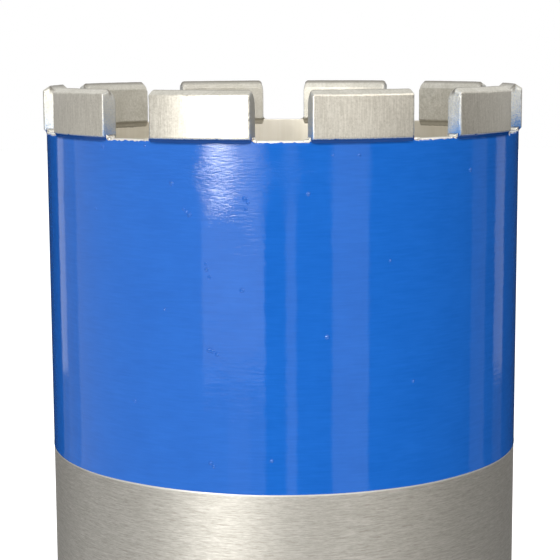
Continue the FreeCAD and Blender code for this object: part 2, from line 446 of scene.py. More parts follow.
# %% [markdown]
# ## The coat's edges
#
# The coat is a skin of a tenth of a millimetre. Its lower edge is a masked line with a small
# lip, where the paint drew back from the tape. Its upper edge ends just short of the rim, and
# between the segments it is chipped: the noise below takes small and large bites out of it, so
# that bare metal shows as a broken bright line.

# %% Lay the coat
COAT_COLUMNS = 1440
COAT_BODY_ROWS = 24
COAT_LIP = 0.05 * MM
FOOT_BAND = 1.6 * MM
TOP_BAND = 1.4 * MM
# Rows in millimetres: how far in from the skin, and how far above the foot or below the rim.
COAT_FOOT = ((0.03, 0.0), (0.0, 0.05), (0.0, 0.35), (0.05, 0.9), (0.05, 1.6))
COAT_TOP = ((0.0, 1.1), (0.0, 0.8), (0.0, 0.35), (0.01, 0.08), (0.05, 0.0))
CHIP_BASE = 0.36 * MM
CHIP_SWING = 0.26 * MM
CHIP_BITE = 0.5 * MM


def coat_section():
    inner = barrel_radius - 0.02 * MM
    rows = [(inner, paint_foot)]
    rows += [(paint_radius - inset * MM, paint_foot + rise * MM) for inset, rise in COAT_FOOT]
    low, high = paint_foot + FOOT_BAND, rim_level - TOP_BAND
    for row in range(1, COAT_BODY_ROWS + 1):
        share = row / COAT_BODY_ROWS
        rows.append((paint_radius - COAT_LIP * (1 - share), low + (high - low) * share))
    rows += [(paint_radius - inset * MM, rim_level - drop * MM) for inset, drop in COAT_TOP]
    return rows + [(inner, rim_level)]


def in_gap(turn, spill=0.0):
    """1 in the gaps between the segments, 0 under them. It may spill some degrees further."""
    from_gap = (turn - front_gap_turn + segment_pitch / 2) % segment_pitch - segment_pitch / 2
    gap_half = segment_pitch / 2 - math.asin(segment_length / 2 / barrel_radius)
    reach = gap_half + math.radians(spill) - np.abs(from_gap)
    return np.clip(reach / math.radians(0.5 + spill), 0, 1)


def chip_the_edge(radius, height, turn):
    fine = ring_noise(turn, 640, 11) * 0.6 + ring_noise(turn, 250, 12) * 0.4
    bites = np.clip(ring_noise(turn, 170, 13) - 0.72, 0, 1) / 0.28
    chipped = CHIP_BASE + CHIP_SWING * fine + CHIP_BITE * bites
    near_rim = np.clip((height - (rim_level - TOP_BAND)) / TOP_BAND, 0, 1)
    drift = ring_noise(turn, 26, 14) * 0.06 * MM + ring_noise(turn, 9, 15) * 0.05 * MM
    near_foot = np.clip(1 - (height - paint_foot) / FOOT_BAND, 0, 1)
    return radius, height - chipped * near_rim * in_gap(turn) + drift * near_foot


coat = turned_piece(
    "blue_coat", coat_section(), COAT_COLUMNS, "paint_coat", [blue_paint], chip_the_edge
)

# %% [markdown]
# Close under each segment the sprayed coat gets little light, and that shade is painted into
# its colour. The attribute `hollow` is 1 there, and falls to 0 in the gaps and a third of a
# millimetre further down.


# %% Mark the hollow under the segments
HOLLOW_FOOT = 1.08 * MM
HOLLOW_FADE = 0.35 * MM
# How far the painted shade darkens the coat under a segment.
COAT_PAINTED_SHADE = 0.9


def write_share(mesh, name, values):
    """A mesh attribute with one value for each point."""
    mesh.attributes.new(name, "FLOAT", "POINT").data.foreach_set("value", values)


places = np.empty(len(coat.data.vertices) * 3)
coat.data.vertices.foreach_get("co", places)
x, y, height = places.reshape(-1, 3).T
close = np.clip((height - (rim_level - HOLLOW_FOOT)) / HOLLOW_FADE, 0, 1)
covered = 1 - in_gap(np.arctan2(y, x), 1.6)
write_share(coat.data, "hollow", close * covered * COAT_PAINTED_SHADE)
print(int((close * covered > 0.5).sum()), "points of the coat lie in the hollow")

# %% [markdown]
# ## Dust in the coat
#
# Grains of dust that fell into the wet paint are what tell the eye how glossy and how thick it
# is. Each is a low dome with its foot inside the coat, wearing the same enamel. A few sit in
# short rows. They are placed where such a coat has them: the angle is from the front gap, in
# degrees, and the depth is below the rim, in millimetres.

# %% Scatter the grains
GRAINS = [
    (-43.5, 1.9, 0.42), (-31.0, 1.4, 0.25), (-52.5, 11.0, 0.2), (-46.5, 16.3, 0.3),
    (-24.4, 9.6, 0.42), (-21.6, 15.2, 0.3), (-20.9, 15.8, 0.36), (-20.2, 16.4, 0.42),
    (-7.9, 12.6, 0.42), (-7.2, 13.4, 0.34), (-7.7, 15.0, 0.3), (-8.6, 33.0, 0.4),
    (-16.4, 28.5, 0.36), (-16.6, 27.2, 0.3), (-15.8, 30.2, 0.34), (-16.0, 46.7, 0.42),
    (-15.3, 46.8, 0.38), (-14.2, 47.6, 0.36), (-26.5, 38.0, 0.28), (5.6, 11.6, 0.38),
    (11.0, 3.2, 0.25), (16.8, 3.3, 0.3), (46.8, 7.8, 0.36), (9.7, 43.5, 0.4),
    (-16.0, 72.5, 0.32), (-15.2, 73.3, 0.28), (-2.4, 71.5, 0.34), (30.0, 55.0, 0.28),
    (24.0, 27.0, 0.26), (-35.0, 60.0, 0.3), (100.0, 20.0, 0.4), (131.0, 47.0, 0.36),
    (166.0, 12.0, 0.42), (201.0, 61.0, 0.38), (229.0, 30.0, 0.4), (258.0, 52.0, 0.34),
]
DOME_RINGS = 4
DOME_SPOKES = 12
DOME_SPREAD = 1.55
DOME_RISE = 0.62
DOME_SUNK = 0.12 * MM


def add_dome(points, faces, turn, height, size):
    """A low dome on the coat: its pole stands proud and its foot is sunk into the paint."""
    faces += grid_quads(DOME_RINGS + 1, DOME_SPOKES, False, len(points))
    for ring in range(DOME_RINGS + 1):
        slope = ring / DOME_RINGS
        spread = size * DOME_SPREAD * math.sin(slope * TAU / 4)
        rise = size * DOME_RISE * math.cos(slope * TAU / 4) - DOME_SUNK * slope
        radius = paint_radius - 0.03 * MM + rise
        for spoke in range(DOME_SPOKES):
            angle = spoke * TAU / DOME_SPOKES
            side = turn + spread * math.cos(angle) / paint_radius
            level = height + spread * math.sin(angle)
            points.append((radius * math.cos(side), radius * math.sin(side), level))


points, faces = [], []
for degrees, depth, size in GRAINS:
    turn = front_gap_turn + math.radians(degrees)
    add_dome(points, faces, turn, rim_level - depth * MM, size * MM)
added_piece(smooth_mesh("dust_grains", points, faces, blue_paint))
print(len(GRAINS), "grains in the coat")

# %% [markdown]
# ## The segment's metal
#
# A segment is metal powder and diamond grit, pressed and sintered. Its faces are told apart by
# what happened to them later. The outer face was ground to size, so it is bright, with fine
# scratches up and down and dark specks where grit or a pore is cut open. The ends and the roof
# keep the duller skin of the press. Overspray from the coat lies at the foot of the ends, thick
# at the bottom and fading upwards into single droplets. Four mesh attributes, made with the
# segment, tell the shader where it is: `ground`, `overspray`, `soot` and `hollow`. `soot` is
# painted shade: a dark band along the top of the roof's inner half, ends darkened by a different
# amount on each segment, and two darker inner faces. `hollow` is painted shade along the
# painted foot.


# %% Sintered metal
def segment_metal_look(tree):
    grit = stretched(tree, 0.22, 0.22, 2.0, 0.6)
    grain = stretched(tree, 0.55, 0.55, 3.0, 0.6, 3.0)
    scratches = stretched(tree, 0.25, 5.0, 3.0, 0.6, 8.0)
    clouds = stretched(tree, 4.0, 4.0, 2.0, 0.5, 6.0)
    ground = grown(tree, "ground")

    pressed_tone = ranged(tree, plus(tree, grain, times(tree, clouds, 0.5)), 0.55, 0.95, 0, 1)
    pressed = mixed(tree, pressed_tone, (0.55, 0.53, 0.465, 1), (0.70, 0.68, 0.62, 1))
    ground_tone = toned(tree, scratches, grain, 0.55, 0.38, 0.62)
    bright = mixed(tree, ground_tone, (0.52, 0.49, 0.425, 1), (0.68, 0.65, 0.58, 1))
    specks = ranged(tree, grit, 0.30, 0.37, 0.55, 0.0)
    bright = mixed(tree, specks, bright, (0.22, 0.20, 0.17, 1))
    metal = mixed(tree, ground, pressed, bright)

    spray = grown(tree, "overspray")
    droplets = stretched(tree, 0.18, 0.18, 2.0, 0.7, 12.0)
    cover = plus(tree, spray, times(tree, ranged(tree, droplets, 0.3, 0.7, -0.5, 0.5), 0.75))
    seen = ranged(tree, spray, 0.0, 0.12, 0.0, 1.0)
    cover = times(tree, ranged(tree, cover, 0.25, 0.75, 0.0, 1.0), seen)
    misted = mixed(tree, ranged(tree, spray, 0.0, 0.6, 0.0, 0.45), metal, (0.30, 0.42, 0.56, 1))
    # Painted shade: where `hollow` is 1, the blue of the foot is mixed to the deep blue.
    blue = mixed(tree, grown(tree, "hollow"), (0.04, 0.20, 0.56, 1), PAINTED_SHADE_BLUE)
    colour = mixed(tree, cover, misted, blue)

    rough = ranged(tree, ground, 0.0, 1.0, 0.52, 0.40)
    skin = ranged(tree, ground, 0.0, 1.0, 1.0, 0.25)
    bump = embossed(tree, times(tree, grain, skin), 0.03)
    return {
        # Painted shade: `soot` mixes in a dark brown-grey on the roof, the ends and two inner
        # faces.
        "Base Color": mixed(tree, grown(tree, "soot"), colour, (0.20, 0.185, 0.16, 1)),
        "Metallic": ranged(tree, cover, 0.0, 1.0, 0.85, 0.0),
        "Roughness": plus(tree, rough, ranged(tree, grain, 0.3, 0.7, -0.05, 0.06)),
        "Normal": embossed(tree, times(tree, scratches, ground), 0.008, bump),
    }


segment_metal = finish_of("sintered_segment", segment_metal_look)

# %% [markdown]
# ## The segments
#
# All ten come from one press, so one function makes them, with a different random seed for the
# small damage. The section is a tall block with a roof. It is swept along the straight chord
# between two parallel ends, each point keeping its own distance from the axis, which curves the
# inner and the outer face. Towards an end the section draws in: widely at the top, where the
# die was round, and only slightly at the upright corners, where grinding has made them crisp.

# %% The section of a segment
RIDGE_FLAT = 0.3 * MM
OUTER_SLOPE_DROP = 1.0 * MM
KNEE_DROP = 0.85 * MM
KNEE_DEPTH = 0.5 * MM
INNER_SLOPE_DROP = 2.0 * MM
SECTION_PITCH = 0.3 * MM


def spaced_out(section, pitch):
    """A closed section with points at about one pitch, keeping the points it has."""
    points = []
    for index, here in enumerate(section):
        after = section[(index + 1) % len(section)]
        steps = max(1, round(math.hypot(after[0] - here[0], after[1] - here[1]) / pitch))
        for step in range(steps):
            share = step / steps
            points.append(tuple(a + (b - a) * share for a, b in zip(here, after)))
    return points


SEGMENT_CORNERS = [
    (core_radius, segment_foot, 0.3 * MM),
    (crown_radius, segment_foot, 0.42 * MM),
    (crown_radius, tip_level - OUTER_SLOPE_DROP, 0.22 * MM),
    (ridge_radius + RIDGE_FLAT / 2, tip_level, 0.15 * MM),
    (ridge_radius - RIDGE_FLAT / 2, tip_level, 0.12 * MM),
    (core_radius + KNEE_DEPTH, tip_level - KNEE_DROP, 0.5 * MM),
    (core_radius, tip_level - INNER_SLOPE_DROP, 0.5 * MM),
]
segment_section = spaced_out(eased(SEGMENT_CORNERS, 3), SECTION_PITCH)
print("segment section of", len(segment_section), "points")

# %% Stations along a segment
END_ROUND_INNER = 0.35 * MM
END_ROUND_OUTER = 0.32 * MM
END_ROUND_TOP_INNER = 1.5 * MM
END_ROUND_TOP_OUTER = 0.55 * MM
STATION_PITCH = 0.34 * MM
END_STEPS = (0.0, 0.02, 0.06, 0.12, 0.2, 0.3, 0.44, 0.62, 0.86, 1.14, 1.4)


def stations():
    """Places along the chord, dense where the ends round off."""
    near = [step * MM for step in END_STEPS]
    middle = segment_length - 2 * near[-1]
    count = round(middle / STATION_PITCH)
    between = [near[-1] + middle * k / count for k in range(1, count)]
    far = [segment_length - step for step in reversed(near)]
    return np.array(near + between + far) - segment_length / 2


def drawn_in(distance, rounding):
    """How far an edge of this rounding has drawn in at a distance from the end."""
    inside = np.clip(rounding - distance, 0, rounding)
    return rounding - np.sqrt(rounding**2 - inside**2)


# %% The points of a segment
def segment_points():
    """A grid of points about the +X direction, and where on the segment each one lies."""
    along = stations()[:, None]
    section = np.array(segment_section)
    across = (section[None, :, 0] - core_radius) / segment_thickness
    up = (section[None, :, 1] - segment_foot) / (tip_level - segment_foot)
    distance = segment_length / 2 - np.abs(along)
    inner = core_radius + drawn_in(distance, END_ROUND_INNER)
    outer = crown_radius - drawn_in(distance, END_ROUND_OUTER)
    top_rounding = END_ROUND_TOP_INNER + (END_ROUND_TOP_OUTER - END_ROUND_TOP_INNER) * across
    top = tip_level - drawn_in(distance, top_rounding)
    radius = inner + (outer - inner) * across
    height = segment_foot + (top - segment_foot) * up
    x = np.sqrt(radius**2 - along**2)
    points = np.stack(np.broadcast_arrays(x, along, height), axis=-1)
    return points, across, up, distance


# %% [markdown]
# A mesh needs more than the right outline to read as sintered metal. After the sweep, every
# point is pushed along its normal by a little noise, more on the pressed skin than on the
# ground face, and a few chips are bitten out of the sharp outer edges.

# %% Small damage
CHIPS_PER_SEGMENT = 9
SHARE_ON_EAVE = 0.45
SHARE_ON_EDGES = 0.75
ROUGH_SINK = 0.055 * MM


def bite_chips(points, seed):
    """Small bites out of the sharp edges of the outer face."""
    random.seed(seed)
    half = segment_length / 2
    eave = tip_level - OUTER_SLOPE_DROP
    centre = (core_radius + crown_radius) / 2
    for _ in range(CHIPS_PER_SEGMENT):
        where = random.random()
        if where < SHARE_ON_EAVE:
            spot = (random.uniform(-half, half), eave)
        elif where < SHARE_ON_EDGES:
            spot = (random.choice((-half, half)), random.uniform(segment_foot, eave))
        else:
            spot = (random.uniform(-half, half), segment_foot + 0.2 * MM)
        size = random.uniform(0.25, 0.7) * MM
        depth = random.uniform(0.05, 0.16) * MM
        edge = Vector((math.sqrt(crown_radius**2 - spot[0] ** 2), spot[0], spot[1]))
        away = np.linalg.norm(points - np.array(edge), axis=-1)
        bite = depth * np.clip(1 - (away / size) ** 2, 0, 1)
        inward = np.array([centre, 0.0, (segment_foot + tip_level) / 2]) - np.array(edge)
        inward = inward / np.linalg.norm(inward)
        points += bite[..., None] * inward
    return points


def roughen(mesh, ground, seed):
    """Push points along their normals: more on the pressed skin, little on the ground face."""
    shift = Vector((seed * 3.1, seed * 1.7, seed * 2.3))
    normals = [vertex.normal.copy() for vertex in mesh.vertices]
    places = []
    for vertex, normal, smooth in zip(mesh.vertices, normals, ground):
        fine = noise.noise(vertex.co / (0.55 * MM) + shift)
        broad = noise.noise(vertex.co / (2.6 * MM) + shift)
        swing = 0.022 * MM * fine + 0.03 * MM * broad
        places.extend(vertex.co - normal * (ROUGH_SINK + swing) * (1 - 0.85 * smooth))
    mesh.vertices.foreach_set("co", places)
    mesh.update()


# %% [markdown]
# The flat ends of a swept body are closed with rings that shrink towards their middle. The
# attributes need points there too, or the overspray on an end would be drawn in hard wedges.

# %% Close the ends
CAP_RINGS = (0.06, 0.22, 0.4, 0.58, 0.76, 0.92)


def capped(grid):
    """The points and faces of a swept grid with both of its ends closed."""
    columns, rows = grid.shape[:2]
    points = grid.reshape(-1, 3).tolist()
    faces = grid_quads(columns, rows, False)
    for column, flip in ((0, False), (columns - 1, True)):
        loop = [column * rows + row for row in range(rows)]
        middle = grid[column].mean(axis=0)
        for shrink in CAP_RINGS:
            ring = list(range(len(points), len(points) + rows))
            points += (grid[column] * (1 - shrink) + middle * shrink).tolist()
            for row in range(rows):
                after = (row + 1) % rows
                face = (loop[row], loop[after], ring[after], ring[row])
                faces.append(face[::-1] if flip else face)
            loop = ring
        faces.append(tuple(reversed(loop)) if flip else tuple(loop))
    return points, faces


def with_caps(grid):
    """The values of a grid, followed by their values on the rings of both ends."""
    values = [grid.reshape(-1)]
    for column in (0, -1):
        middle = grid[column].mean()
        values += [grid[column] * (1 - shrink) + middle * shrink for shrink in CAP_RINGS]
    return np.concatenate(values)


def turned_to_place(mesh, index):
    """Turn a mesh made about +X to the place of the segment with this index."""
    turn = front_gap_turn + (index + 0.5) * segment_pitch
    mesh.transform(Matrix.Rotation(turn, 4, "Z"))
    return mesh


# %% Make the segments
# How much painted shade darkens the ends and the inner face of each segment.
END_PAINTED_SHADE = (0.2, 0.04, 0.06, 0.1, 0.1, 0.1, 0.1, 0.0, 0.36, 0.54)
END_SPRAY = (0.9, 1.0, 1.0, 0.8, 0.8, 0.8, 0.8, 0.45, 0.85, 0.75)
INNER_PAINTED_SHADE = (0.0, 0.0, 0.0, 0.0, 0.0, 0.2, 0.05, 0.0, 0.0, 0.0)
SPRAY_FADE_MM = 3.2
ROOF_SHADE_FROM_MM = 10.1


def segment_shares(index, across, up, distance):
    """The four attributes of a segment, from where its points lie on it."""
    eave_share = 1 - OUTER_SLOPE_DROP / (tip_level - segment_foot)
    on_face = (across > 0.995) & (up > 0.035) & (up < eave_share - 0.015)
    on_face &= distance > 0.25 * MM
    height_mm = up * (tip_level - segment_foot) / MM
    fade = np.exp(-height_mm / SPRAY_FADE_MM)
    on_end = np.clip(1 - distance / (0.45 * MM), 0, 1)
    on_foot = np.clip(1 - height_mm / 0.45, 0, 1) * (across > 0.8)
    spray = on_end * (0.16 + 0.84 * fade * (0.45 + 0.55 * across)) * END_SPRAY[index]
    # Painted shade: a dark band along the top of the roof's inner half, and darker ends.
    roof_shade = np.clip((height_mm - ROOF_SHADE_FROM_MM) / 0.8, 0, 1) * np.clip((0.62 - across) / 0.1, 0, 1)
    soot = np.maximum(roof_shade * 0.85, on_end * END_PAINTED_SHADE[index])
    return {
        "ground": on_face.astype(float),
        "overspray": np.maximum(spray, on_foot),
        "soot": np.maximum(soot, INNER_PAINTED_SHADE[index] * (across < 0.5)),
        # The painted foot also carries painted shade, through `hollow`.
        "hollow": on_foot,
    }


def make_segment(name, index):
    points, *where = segment_points()
    body = capped(bite_chips(points, 100 + index))
    mesh = smooth_mesh(name + "_dressed", *body, segment_metal)
    where = [with_caps(np.broadcast_to(grid, points.shape[:2])) for grid in where]
    shares = segment_shares(index, *where)
    for key, values in shares.items():
        write_share(mesh, key, values)
    roughen(mesh, shares["ground"], index + 1)
    added_piece(turned_to_place(mesh, index), name)


for index, name in enumerate(segment_names):
    make_segment(name, index)

# %% [markdown]
# ## Braze
#
# Molten braze is drawn into the joint and stands as a hollow fillet wherever two surfaces meet:
# under both overhangs of the segment and at its two ends. Outside, the coat was sprayed over
# it, so there it is blue and leaves the barrel without a step; that blue is darkened as painted
# shade. On the rim it is bare and stained brown by flux. Inside it is bare and dull, and its
# colour is darkened as painted shade under the inner overhang. The fillet is a section again,
# swept along the segment, whose skirts wander up and down with noise because nothing held the
# metal to a line.


# %% Bare braze
def bare_braze_look(tree):
    lumps = stretched(tree, 0.5, 0.5, 3.0, 0.6)
    stain = ranged(tree, stretched(tree, 1.1, 1.1, 3.0, 0.6, 4.0), 0.54, 0.66, 0.0, 0.7)
    metal = mixed(tree, lumps, (0.66, 0.63, 0.55, 1), (0.86, 0.83, 0.76, 1))
    return {
        "Base Color": mixed(tree, stain, metal, (0.34, 0.24, 0.15, 1)),
        "Metallic": ranged(tree, stain, 0, 1, 0.9, 0.1),
        "Roughness": ranged(tree, stain, 0, 1, 0.28, 0.7),
        "Normal": embossed(tree, lumps, 0.04),
    }


bare_braze = finish_of("bare_braze", bare_braze_look)


# %% Braze inside, darkened as painted shade
def dull_braze_look(tree):
    lumps = stretched(tree, 1.5, 0.8, 3.0, 0.5)
    return {
        # Painted shade: darker than the bore, for the shadow under the inner overhang.
        "Base Color": mixed(tree, lumps, (0.40, 0.37, 0.30, 1), (0.56, 0.52, 0.43, 1)),
        "Normal": embossed(tree, lumps, 0.03),
        "Metallic": 0.6,
        "Roughness": 0.6,
    }


dull_braze = finish_of("dull_braze", dull_braze_look)

# %% Sweep the fillets
SKIRT = 1.4 * MM
OUTER_SKIRT = 0.7 * MM
END_FILLET = 0.8 * MM
FILLET_STEPS = 6
BRAZE_STATIONS = 72


def hollow(start, end, corner, steps):
    """Points of a hollow fillet from start to end, drawn towards the corner they share."""
    points = []
    for step in range(steps + 1):
        share = step / steps
        straight = start + (end - start) * share
        pull = 0.62 * math.sin(share * TAU / 2)
        points.append(straight + (corner - straight) * pull * 0.55)
    return points


def braze_section(skirt_out, skirt_in, grip):
    """A section of the bed: inner skirt, outer skirt and the thin layer under the segment."""
    out_low = Vector((paint_radius - 0.03 * MM, rim_level - skirt_out))
    out_high = Vector((crown_radius - 0.10 * MM * grip, segment_foot + 0.32 * MM * grip))
    out_corner = Vector((paint_radius, segment_foot))
    in_low = Vector((bore_radius + 0.02 * MM, rim_level - skirt_in))
    in_high = Vector((core_radius + 0.12 * MM, segment_foot + 0.16 * MM * grip))
    in_corner = Vector((bore_radius, segment_foot))
    section = [Vector((bore_radius + 0.4 * MM, rim_level - skirt_in))]
    section += [Vector((barrel_radius - 0.4 * MM, rim_level - skirt_out))]
    section += hollow(out_low, out_high, out_corner, FILLET_STEPS)
    section += [Vector((crown_radius - 0.7 * MM, segment_foot + 0.25 * MM))]
    section += [Vector((core_radius + 0.7 * MM, segment_foot + 0.25 * MM))]
    section += hollow(in_high, in_low, in_corner, FILLET_STEPS)
    return section


# %% Beads of braze
BEADS_PER_END = 4
BEAD_RINGS = 7
BEAD_SPOKES = 12


def add_bead(points, faces, centre, size):
    """A small lumpy ball of braze, taller than it is thick."""
    first = len(points)
    for ring in range(1, BEAD_RINGS):
        tilt = ring / BEAD_RINGS * TAU / 2
        wide = math.sin(tilt)
        for spoke in range(BEAD_SPOKES):
            angle = spoke * TAU / BEAD_SPOKES
            out = Vector(
                (0.6 * wide * math.cos(angle), 1.3 * wide * math.sin(angle), 0.7 * math.cos(tilt))
            )
            lump = 1 + 0.25 * noise.noise(centre / (0.3 * MM) + out * 2)
            points.append(tuple(centre + out * size * lump))
    faces += grid_quads(BEAD_RINGS - 1, BEAD_SPOKES, False, first)
    faces.append(tuple(range(first, first + BEAD_SPOKES)))
    faces.append(tuple(reversed(range(len(points) - BEAD_SPOKES, len(points)))))


def add_beads(points, faces):
    """Beads that froze at the corners of the foot, on the rim's outer edge."""
    for side in (-1, 1):
        for _ in range(BEADS_PER_END):
            size = random.uniform(0.3, 0.62) * MM
            along = side * (segment_length / 2 + random.uniform(0.0, 1.5) * MM)
            level = rim_level - random.uniform(0.0, 0.25) * MM
            reach = min(barrel_radius - 0.1 * MM, paint_radius + 0.1 * MM - size * 0.6)
            centre = Vector((math.sqrt(reach**2 - along**2), along, level))
            add_bead(points, faces, centre, size)


# %% Make the braze beds
BRAZE_PAINTED_SHADE = 0.95
BLUE, INNER_SHADE = 1, 2


def end_form(section, beyond, tail):
    """Past the segment's end the bed gets narrower and climbs the end as a fillet."""
    middle = (barrel_radius + bore_radius) / 2
    narrow = 1 - 0.45 * beyond
    climb = 0.5 * MM * (1 - beyond) ** 1.6
    for point in section:
        point.x = middle + (point.x - middle) * (1 - beyond * 0.5) * narrow
        point.x = min(max(point.x, bore_radius - 0.2 * MM), paint_radius + 0.1 * MM)
        if point.y > rim_level - 0.05 * MM:
            point.y = rim_level - 0.03 * MM + (point.y - rim_level) * tail + climb


def braze_column(along, shift):
    """The section of the bed at one place along the segment, as points."""
    beyond = min(1.0, max(0.0, abs(along) - segment_length / 2) / END_FILLET)
    wander = noise.noise(Vector((along / (2.2 * MM), shift, 0.0)))
    wander_in = noise.noise(Vector((along / (1.6 * MM), shift, 7.0)))
    tail = math.sqrt(max(0.0, 1 - beyond**2))
    skirt_out = (OUTER_SKIRT + 0.2 * MM * wander) * (0.35 + 0.65 * tail)
    skirt_in = (SKIRT + 0.15 * MM * wander_in) * (0.35 + 0.65 * tail)
    section = braze_section(skirt_out, skirt_in, tail)
    if beyond > 0:
        end_form(section, beyond, tail)
    column = []
    for point in section:
        lump = noise.noise(Vector((along, point.x, point.y)) / (0.7 * MM))
        radius = point.x + 0.02 * MM * lump
        column.append((math.sqrt(radius**2 - along**2), along, point.y + 0.02 * MM * lump))
    return column


def make_braze(name, index):
    random.seed(500 + index)
    shift = random.uniform(0, 100)
    half = segment_length / 2 + END_FILLET
    places = [-half + 2 * half * k / BRAZE_STATIONS for k in range(BRAZE_STATIONS + 1)]
    points, faces = capped(np.array([braze_column(along, shift) for along in places]))
    add_beads(points, faces)
    finishes = (bare_braze, blue_paint, dull_braze)
    mesh = smooth_mesh(name + "_dressed", points, faces, *finishes)
    # The blue faces of the braze lie under the segment and get painted shade through `hollow`.
    write_share(mesh, "hollow", [BRAZE_PAINTED_SHADE] * len(mesh.vertices))
    for face in mesh.polygons:
        radius = math.hypot(face.center.x, face.center.y)
        under_segment = abs(face.center.y) < segment_length / 2 + 0.25 * MM
        if radius > barrel_radius - 0.25 * MM and under_segment:
            face.material_index = BLUE
        elif radius < bore_radius + 0.3 * MM:
            # Inside, the braze is coloured darker: painted shade under the inner overhang.
            face.material_index = INNER_SHADE
    added_piece(turned_to_place(mesh, index), name)


braze_names = sorted(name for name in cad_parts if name.startswith("braze_"))
for index, name in enumerate(braze_names):
    make_braze(name, index)

# %% [markdown]
# ## Turned steel
#
# The back plate and the hub came off a lathe. The tool leaves a fine groove with a steady
# pitch: rings on a face, bands on a cylinder. A wave over the distance from the axis draws the
# first and a wave over the height draws the second. Both are added, and each fades where the
# surface doesn't change along its own direction.


# %% Turned and oiled
GROOVE_PITCH = 0.3 * MM


def turned_steel_look(tree):
    parts = part_of(tree, "ShaderNodeSeparateXYZ", {0: own_place(tree)}).outputs
    flat = part_of(tree, "ShaderNodeCombineXYZ", {"X": parts["X"], "Y": parts["Y"]})
    radius = part_of(tree, "ShaderNodeVectorMath", {0: flat.outputs[0]}, operation="LENGTH")
    travel = plus(tree, radius.outputs["Value"], parts["Z"])
    groove = worked_out(tree, "SINE", times(tree, travel, TAU / GROOVE_PITCH))
    wear = stretched(tree, 6.0, 6.0, 4.0, 0.6)
    fine = stretched(tree, 0.6, 0.2, 3.0, 0.6, 3.0)
    return {
        "Base Color": mixed(tree, wear, (0.46, 0.45, 0.43, 1), (0.62, 0.61, 0.59, 1)),
        "Roughness": ranged(tree, wear, 0.3, 0.7, 0.3, 0.44),
        "Normal": embossed(tree, groove, 0.003, embossed(tree, fine, 0.0015)),
        "Metallic": 1.0,
    }


turned_steel = finish_of("turned_steel", turned_steel_look)

# %% [markdown]
# ## The back plate
#
# The plate is one lathe section: a flange as wide as the barrel, and above it a register that
# drops into the bore. Its edge facing the weld is bevelled like the barrel's foot.

# %% Turn the plate
REGISTER_CLEARANCE = 0.05 * MM
PLATE_HOLE = 20.05 * MM
FLANGE_CHAMFER = 1.5 * MM
REGISTER_CHAMFER = 1.0 * MM
PLATE_COLUMNS = 360
register = bore_radius - REGISTER_CLEARANCE
PLATE_CORNERS = [
    (PLATE_HOLE, flange_foot, 0.2 * MM),
    (barrel_radius - FLANGE_CHAMFER, flange_foot, 0.2 * MM),
    (barrel_radius, flange_foot + FLANGE_CHAMFER, 0.2 * MM),
    (barrel_radius, barrel_foot - WELD_GROOVE, 0.1 * MM),
    (barrel_radius - WELD_GROOVE, barrel_foot, 0.05 * MM),
    (register, barrel_foot, 0.05 * MM),
    (register, plate_top - REGISTER_CHAMFER, 0.15 * MM),
    (register - REGISTER_CHAMFER, plate_top, 0.15 * MM),
    (PLATE_HOLE, plate_top, 0.2 * MM),
]
turned_piece(
    "back_plate_dressed", eased(PLATE_CORNERS), PLATE_COLUMNS, "back_plate",
    [turned_steel],
)

# %% [markdown]
# ## The hub
#
# Outside, the hub is a hexagon with a chamfered end. Seen as a turned shape, a hexagon is only a
# radius that grows towards each corner, and the chamfer is a cone that limits it, so the lathe
# helper makes both: the smaller of the two radii wins. Inside is the spindle thread. A helical
# thread is the same idea once more: the radius depends on the height plus the turn.

# %% Shapes of the hub
HUB_FLAT = 23.0 * MM
HUB_CORNER_CUT = 26.2 * MM
HUB_LAND = 22.0 * MM
SPIGOT_RADIUS = 20.0 * MM
THREAD_PITCH = 25.4 * MM / 7
THREAD_MINOR = 13.9 * MM
THREAD_MAJOR = 15.875 * MM
MOUTH_RADIUS = 16.275 * MM
THREAD_ROWS_PER_PITCH = 18
HUB_COLUMNS = 360
# Rows at these radii are marks: shape_hub gives them the hexagon's or the thread's radius.
ON_HEXAGON = 30.0 * MM
ON_THREAD = 0.0


def hexagon_radius(turn, apothem):
    """The distance to the side of a hexagon with a corner on +X, its corners slightly cut."""
    sixth = TAU / 6
    inside = (turn % sixth) - sixth / 2
    return np.minimum(apothem / np.cos(inside), apothem * HUB_CORNER_CUT / HUB_FLAT)


def thread_radius(height, turn):
    """The wall of a right-hand thread: crests at the minor radius, grooves at the major one."""
    phase = (height / THREAD_PITCH - turn / TAU) % 1.0
    flank = np.abs(phase - 0.5) * 2
    groove = np.clip((0.86 - flank) / 0.72, 0, 1)
    return THREAD_MINOR + (THREAD_MAJOR - THREAD_MINOR) * groove


def hub_rows():
    """The section of the hub: the outside from mouth to top, then the bore back down."""
    rows = [(MOUTH_RADIUS, 0.0), (17.5 * MM, 0.0), (20.0 * MM, 0.0), (HUB_LAND, 0.0)]
    rows += [(ON_HEXAGON, 0.2 * MM * step) for step in range(1, 16)]
    rows += [(ON_HEXAGON, flange_foot * share) for share in (0.15, 0.4, 0.7, 0.95)]
    rows += [(ON_HEXAGON, flange_foot - 0.02 * MM), (SPIGOT_RADIUS, flange_foot)]
    rows += [
        (SPIGOT_RADIUS, flange_foot + 0.5 * MM),
        (SPIGOT_RADIUS, hub_top - 0.4 * MM),
        (SPIGOT_RADIUS - 0.1 * MM, hub_top - 0.1 * MM),
        (SPIGOT_RADIUS - 0.4 * MM, hub_top),
        (THREAD_MAJOR + 0.6 * MM, hub_top),
    ]
    count = round(hub_top / THREAD_PITCH * THREAD_ROWS_PER_PITCH)
    return rows + [(ON_THREAD, hub_top * (1 - row / count)) for row in range(count)]


